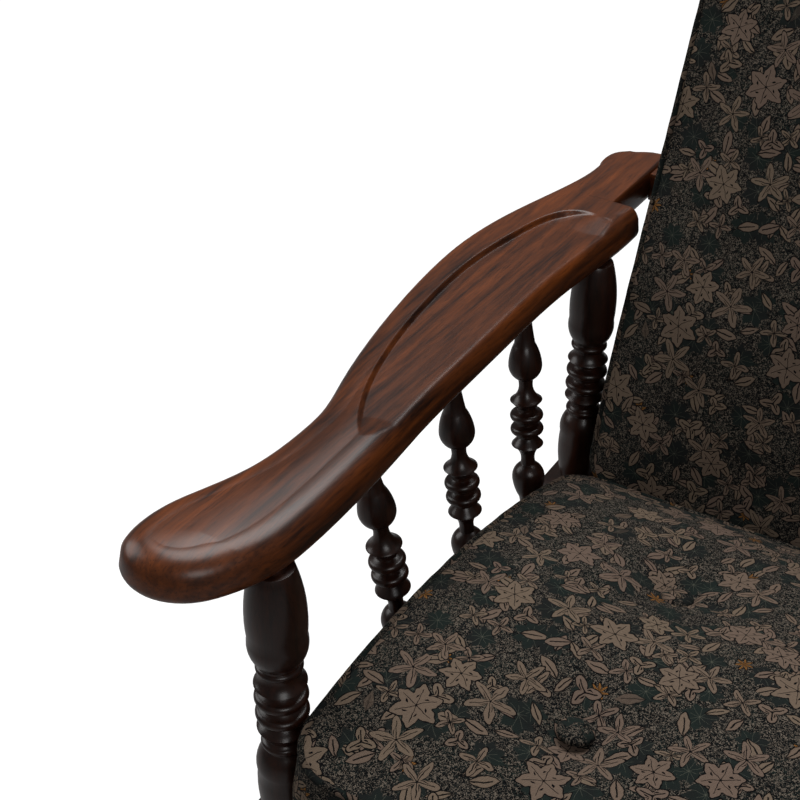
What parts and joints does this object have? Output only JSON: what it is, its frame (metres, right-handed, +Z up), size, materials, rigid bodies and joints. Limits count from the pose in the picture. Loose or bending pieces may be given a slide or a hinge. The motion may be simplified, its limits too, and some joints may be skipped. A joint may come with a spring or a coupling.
{
  "type": "rocking chair",
  "caption": "Wooden rocking chair with paddle arms on turned spindles, curved runners, a reclined slatted back and floral seat and back cushions.",
  "frame": {"origin": "on the floor, in the middle of the bounding box, between the runners' resting flats", "axes": "+Z up, the sitter looks along -Y, +X to the right of someone facing the chair"},
  "size_m": [0.702, 0.9328, 1.0031],
  "materials": {
    "stained_wood": "dark mahogany stain under a satin-gloss varnish",
    "turned_wood": "darker mahogany stain on the turned spindles, satin-gloss varnish",
    "frame_wood": "plain planed hardwood, hidden under the seat",
    "bolt_steel": "bronzed steel",
    "floral_fabric": "woven cotton tapestry, charcoal ground with taupe flowers"
  },
  "bodies": {
    "root": {"arm_block_left": "stained_wood", "arm_block_right": "stained_wood", "arm_bolt_left": "bolt_steel", "arm_bolt_right": "bolt_steel", "arm_left": "stained_wood", "arm_right": "stained_wood", "arm_spindle_left_1": "turned_wood", "arm_spindle_left_2": "turned_wood", "arm_spindle_left_3": "turned_wood", "arm_spindle_right_1": "turned_wood", "arm_spindle_right_2": "turned_wood", "arm_spindle_right_3": "turned_wood", "back_cushion": "floral_fabric", "back_foot_bolt_left": "bolt_steel", "back_foot_bolt_right": "bolt_steel", "back_post_left": "stained_wood", "back_post_right": "stained_wood", "back_slat_1": "stained_wood", "back_slat_2": "stained_wood", "back_slat_3": "stained_wood", "back_slat_4": "stained_wood", "back_slat_5": "stained_wood", "corner_brace_left": "frame_wood", "corner_brace_right": "frame_wood", "crest_rail": "stained_wood", "finial_left": "stained_wood", "finial_right": "stained_wood", "front_leg_left": "stained_wood", "front_leg_right": "stained_wood", "front_rail": "stained_wood", "front_stretcher": "stained_wood", "lower_back_rail": "stained_wood", "rear_leg_left": "stained_wood", "rear_leg_right": "stained_wood", "rear_rail": "stained_wood", "rear_stretcher": "stained_wood", "runner_left": "stained_wood", "runner_right": "stained_wood", "seat_buttons": "floral_fabric", "seat_cushion": "floral_fabric", "seat_ledger_left": "frame_wood", "seat_ledger_right": "frame_wood", "seat_slat_1": "frame_wood", "seat_slat_2": "frame_wood", "seat_slat_3": "frame_wood", "seat_slat_4": "frame_wood", "seat_slat_5": "frame_wood", "side_rail_left": "stained_wood", "side_rail_right": "stained_wood", "side_stretcher_left": "stained_wood", "side_stretcher_right": "stained_wood"}
  },
  "joints": []
}
